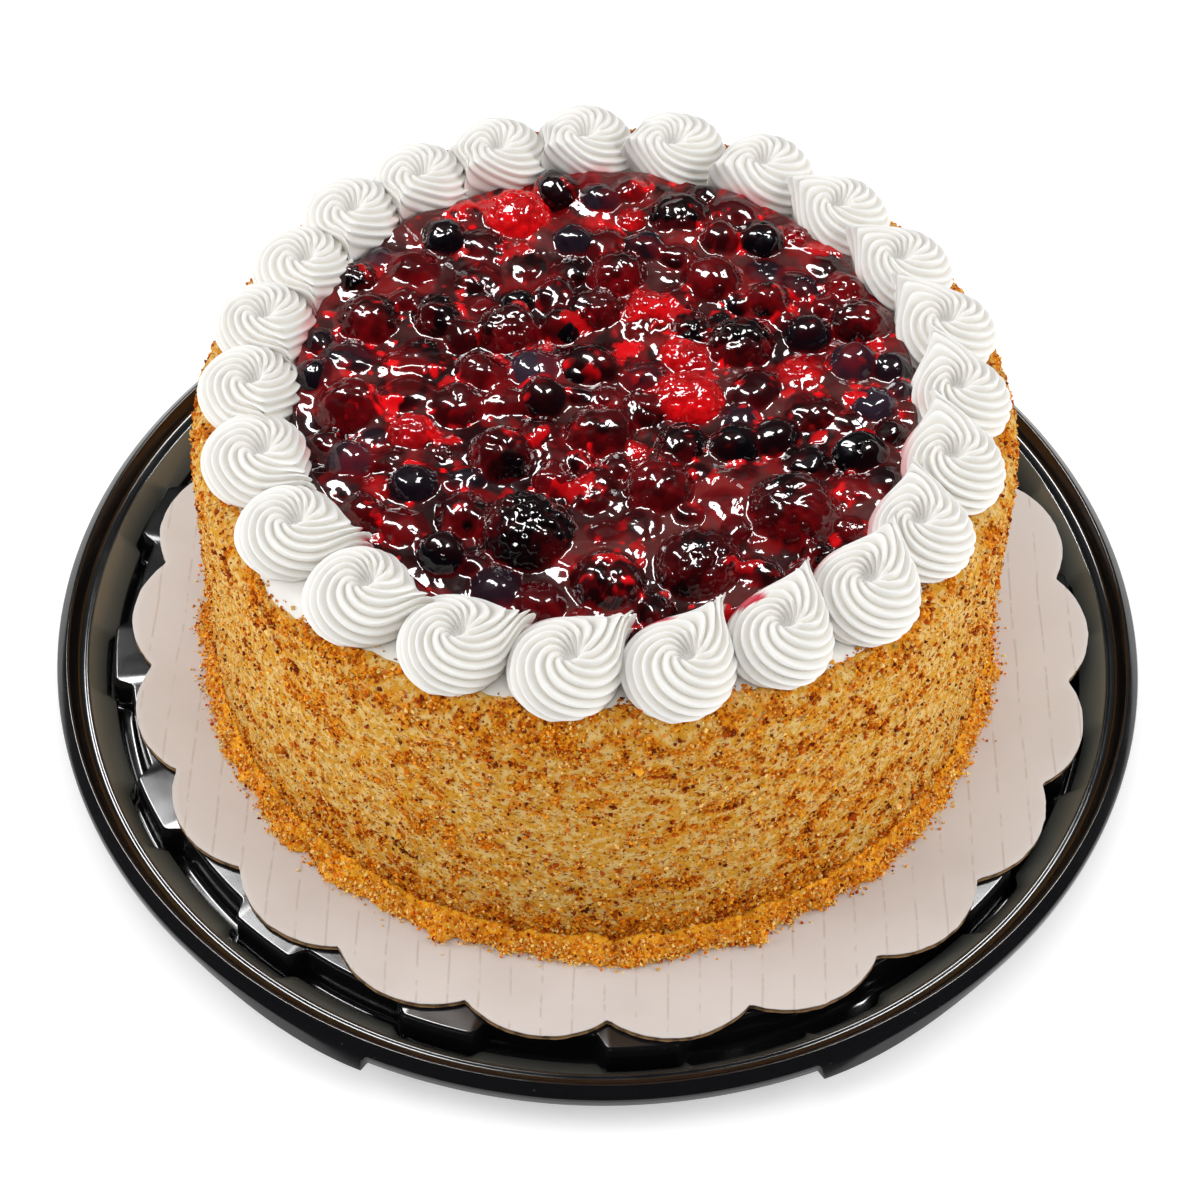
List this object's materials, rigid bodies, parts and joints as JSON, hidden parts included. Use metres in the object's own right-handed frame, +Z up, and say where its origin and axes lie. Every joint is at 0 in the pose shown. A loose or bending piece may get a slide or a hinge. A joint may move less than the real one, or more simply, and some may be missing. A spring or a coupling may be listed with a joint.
{
  "type": "berry cake in a black plastic cake tray",
  "caption": "Round layer cake with a crumb-coated wall, a ring of piped swirls and a glazed berry topping, on a scalloped card in a shallow black tray.",
  "frame": {"origin": "on the floor under the centre of the tray", "axes": "+Z up, -Y towards the front that the picture shows, +X to its right"},
  "size_m": [0.286, 0.286, 0.1134],
  "materials": {
    "tray_plastic": "gloss",
    "card": "matte",
    "frosting": "satin",
    "crumbs": "matte",
    "glaze": "gloss",
    "bramble": "gloss",
    "raspberry": "gloss",
    "blueberry": "gloss"
  },
  "bodies": {
    "root": {"berry_glaze": "glaze", "blueberry_01": "blueberry", "blueberry_02": "blueberry", "blueberry_03": "blueberry", "blueberry_04": "blueberry", "blueberry_05": "blueberry", "blueberry_06": "blueberry", "blueberry_07": "blueberry", "blueberry_08": "blueberry", "blueberry_09": "blueberry", "blueberry_10": "blueberry", "blueberry_11": "blueberry", "blueberry_12": "blueberry", "blueberry_13": "blueberry", "blueberry_14": "blueberry", "bramble_01": "bramble", "bramble_02": "bramble", "bramble_03": "bramble", "bramble_04": "bramble", "bramble_05": "bramble", "bramble_06": "bramble", "bramble_07": "bramble", "bramble_08": "bramble", "bramble_09": "bramble", "bramble_10": "bramble", "bramble_11": "bramble", "bramble_12": "bramble", "bramble_13": "bramble", "cake_body": "frosting", "crumb_coat": "crumbs", "crumb_skirt": "crumbs", "raspberry_01": "raspberry", "raspberry_02": "raspberry", "raspberry_03": "raspberry", "raspberry_04": "raspberry", "scalloped_card": "card", "swirl_01": "frosting", "swirl_02": "frosting", "swirl_03": "frosting", "swirl_04": "frosting", "swirl_05": "frosting", "swirl_06": "frosting", "swirl_07": "frosting", "swirl_08": "frosting", "swirl_09": "frosting", "swirl_10": "frosting", "swirl_11": "frosting", "swirl_12": "frosting", "swirl_13": "frosting", "swirl_14": "frosting", "swirl_15": "frosting", "swirl_16": "frosting", "swirl_17": "frosting", "swirl_18": "frosting", "swirl_19": "frosting", "swirl_20": "frosting", "swirl_21": "frosting", "swirl_22": "frosting", "swirl_23": "frosting", "tray": "tray_plastic"}
  },
  "joints": []
}
